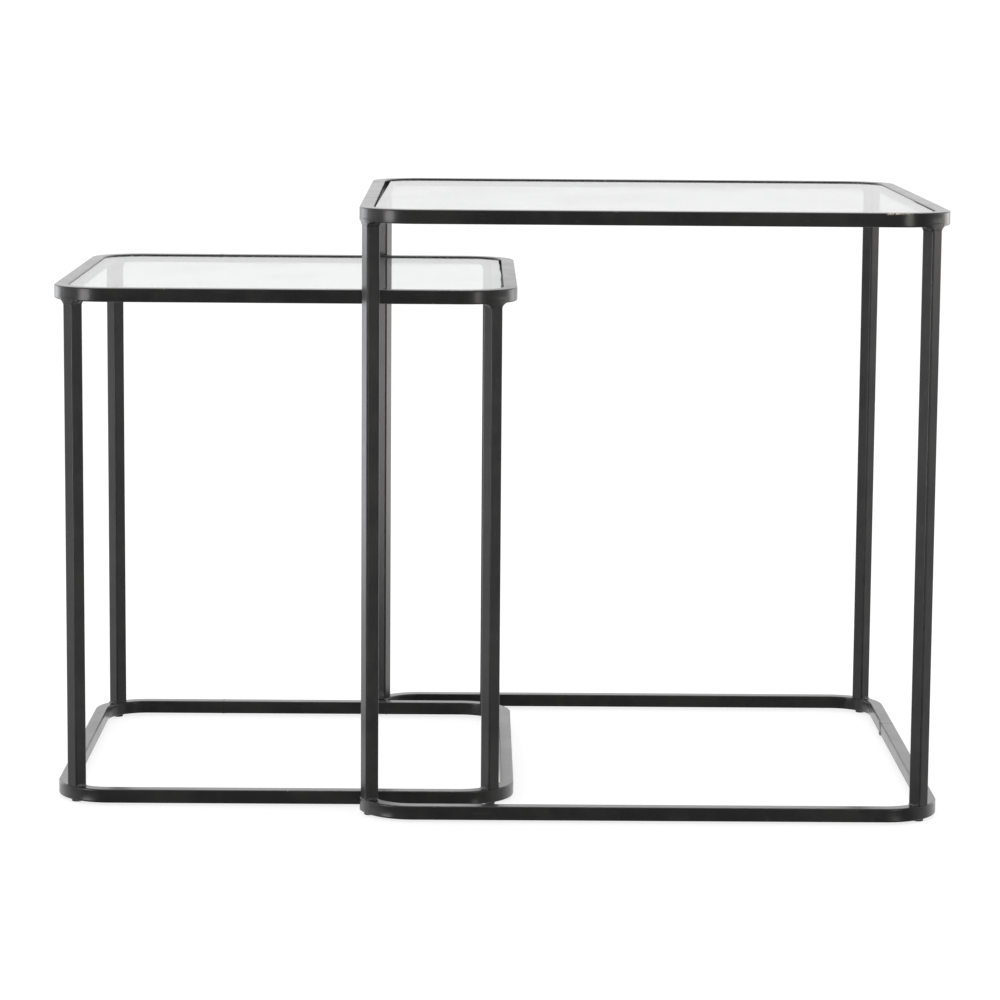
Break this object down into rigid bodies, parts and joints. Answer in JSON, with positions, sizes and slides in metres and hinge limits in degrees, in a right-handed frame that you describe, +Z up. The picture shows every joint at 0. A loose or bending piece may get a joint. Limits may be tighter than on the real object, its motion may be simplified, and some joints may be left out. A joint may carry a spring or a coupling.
{
  "type": "nesting tables",
  "caption": "Pair of square nesting side tables in black square tube with inset glass tops; the smaller slides in under the larger, whose base is open on one side.",
  "frame": {"origin": "on the floor, at the middle of the pair's plan as it stands partly pulled out", "axes": "+X from the small table towards the large one, the way the small table slides in; +Y towards the back; +Z up"},
  "size_m": [0.765, 0.5, 0.522],
  "materials": {
    "frame_black": "satin black powder coat on steel tube, with small chips and scuffs",
    "glass_clear": "clear float glass with ground edges",
    "bumper_clear": "clear silicone dots",
    "glide_black": "matt black nylon glides"
  },
  "bodies": {
    "large_table": {"large_top_rail": "frame_black", "large_top_closing_rail": "frame_black", "large_base_front_rail": "frame_black", "large_base_back_rail": "frame_black", "large_base_end_cap_front": "frame_black", "large_base_end_cap_back": "frame_black", "large_leg_front_left": "frame_black", "large_leg_front_right": "frame_black", "large_leg_back_right": "frame_black", "large_leg_back_left": "frame_black", "large_glide_front_left": "glide_black", "large_glide_front_right": "glide_black", "large_glide_back_right": "glide_black", "large_glide_back_left": "glide_black", "large_ledge_front": "frame_black", "large_ledge_back": "frame_black", "large_ledge_left": "frame_black", "large_ledge_right": "frame_black", "large_bumper_front_left": "bumper_clear", "large_bumper_front_right": "bumper_clear", "large_bumper_back_right": "bumper_clear", "large_bumper_back_left": "bumper_clear"},
    "small_table": {"small_top_rail": "frame_black", "small_top_closing_rail": "frame_black", "small_base_rail": "frame_black", "small_base_closing_rail": "frame_black", "small_leg_front_left": "frame_black", "small_leg_front_right": "frame_black", "small_leg_back_right": "frame_black", "small_leg_back_left": "frame_black", "small_glide_front_left": "glide_black", "small_glide_front_right": "glide_black", "small_glide_back_right": "glide_black", "small_glide_back_left": "glide_black", "small_ledge_front": "frame_black", "small_ledge_back": "frame_black", "small_ledge_left": "frame_black", "small_ledge_right": "frame_black", "small_bumper_front_left": "bumper_clear", "small_bumper_front_right": "bumper_clear", "small_bumper_back_right": "bumper_clear", "small_bumper_back_left": "bumper_clear"},
    "large_glass": {"large_glass_pane": "glass_clear"},
    "small_glass": {"small_glass_pane": "glass_clear"}
  },
  "joints": [
    {"name": "nest_slide", "type": "slide", "parent": "large_table", "child": "small_table", "axis": [1, 0, 0], "range_m": [-0.2, 0.345]},
    {"name": "large_glass_lift", "type": "slide", "parent": "large_table", "child": "large_glass", "axis": [0, 0, 1], "range_m": [0, 0.04]},
    {"name": "small_glass_lift", "type": "slide", "parent": "small_table", "child": "small_glass", "axis": [0, 0, 1], "range_m": [0, 0.04]}
  ]
}
